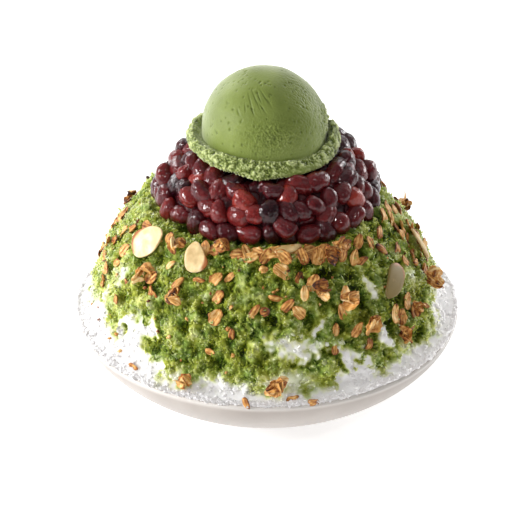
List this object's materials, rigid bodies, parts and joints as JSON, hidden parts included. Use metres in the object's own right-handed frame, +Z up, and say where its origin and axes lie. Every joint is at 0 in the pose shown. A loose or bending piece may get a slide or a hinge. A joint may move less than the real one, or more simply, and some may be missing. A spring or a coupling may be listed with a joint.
{
  "type": "bingsu",
  "caption": "Round shallow bowl of shaved milk ice dusted with matcha, topped with sweet red beans, a scoop of matcha ice cream, sliced almonds and granola clusters.",
  "frame": {"origin": "middle of the bowl's foot, on the surface it stands on", "axes": "+Z up, the front of the dish is -Y, +X is its right side seen from the front"},
  "size_m": [0.185, 0.185, 0.1665],
  "materials": {
    "bowl_glaze": "off-white glazed stoneware, smooth gloss",
    "white_snow": "fluffy granular milk snow",
    "red_bean": "cooked beans glazed with syrup",
    "matcha_green": "matt matcha green",
    "almond": "satin sliced nut",
    "toasted_oat": "baked oat flakes, dull with a little syrup"
  },
  "bodies": {
    "root": {"bowl": "bowl_glaze", "shaved_ice": "white_snow", "red_beans": "red_bean", "ice_cream": "matcha_green", "almond_slice_1": "almond", "almond_slice_2": "almond", "almond_slice_3": "almond", "almond_slice_4": "almond", "almond_slice_5": "almond", "almond_slice_6": "almond", "almond_slice_7": "almond", "almond_slice_8": "almond", "almond_slice_9": "almond", "granola_cluster_1": "toasted_oat", "granola_cluster_2": "toasted_oat", "granola_cluster_3": "toasted_oat", "granola_cluster_4": "toasted_oat", "granola_cluster_5": "toasted_oat", "granola_cluster_6": "toasted_oat", "granola_cluster_7": "toasted_oat", "granola_cluster_8": "toasted_oat", "granola_cluster_9": "toasted_oat", "granola_cluster_10": "toasted_oat", "granola_cluster_11": "toasted_oat", "granola_cluster_12": "toasted_oat", "granola_cluster_13": "toasted_oat", "granola_cluster_14": "toasted_oat", "granola_cluster_15": "toasted_oat", "granola_cluster_16": "toasted_oat", "granola_cluster_17": "toasted_oat", "granola_cluster_18": "toasted_oat", "granola_cluster_19": "toasted_oat", "granola_cluster_20": "toasted_oat", "granola_cluster_21": "toasted_oat"}
  },
  "joints": []
}
